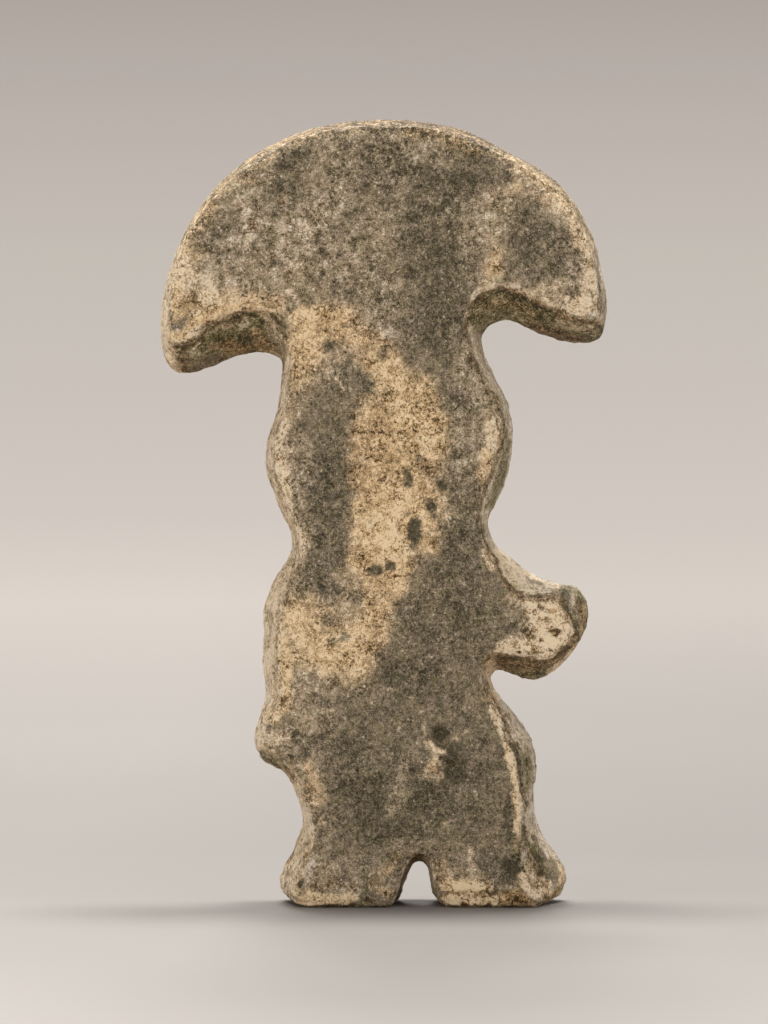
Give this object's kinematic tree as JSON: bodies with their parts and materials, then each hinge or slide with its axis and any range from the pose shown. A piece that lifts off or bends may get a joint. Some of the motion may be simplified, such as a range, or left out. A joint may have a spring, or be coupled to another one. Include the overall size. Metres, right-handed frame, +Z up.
{
  "type": "stone figurine",
  "caption": "Slab-like standing stone figurine with a broad crescent headdress, one arm held out to the side, a flat plain back and low worn carving on the front.",
  "frame": {"origin": "centre of the bounding box in X and Y, on the plane of the soles in Z", "axes": "+Z up from the soles to the headdress; -Y points out of the flat back, which the picture shows; +X is to the right when looking at that back"},
  "size_m": [0.1142, 0.0332, 0.2],
  "materials": {
    "stone": "rough, pitted volcanic stone with tan and dark patches"
  },
  "bodies": {
    "root": {"figurine": "stone"}
  },
  "joints": []
}
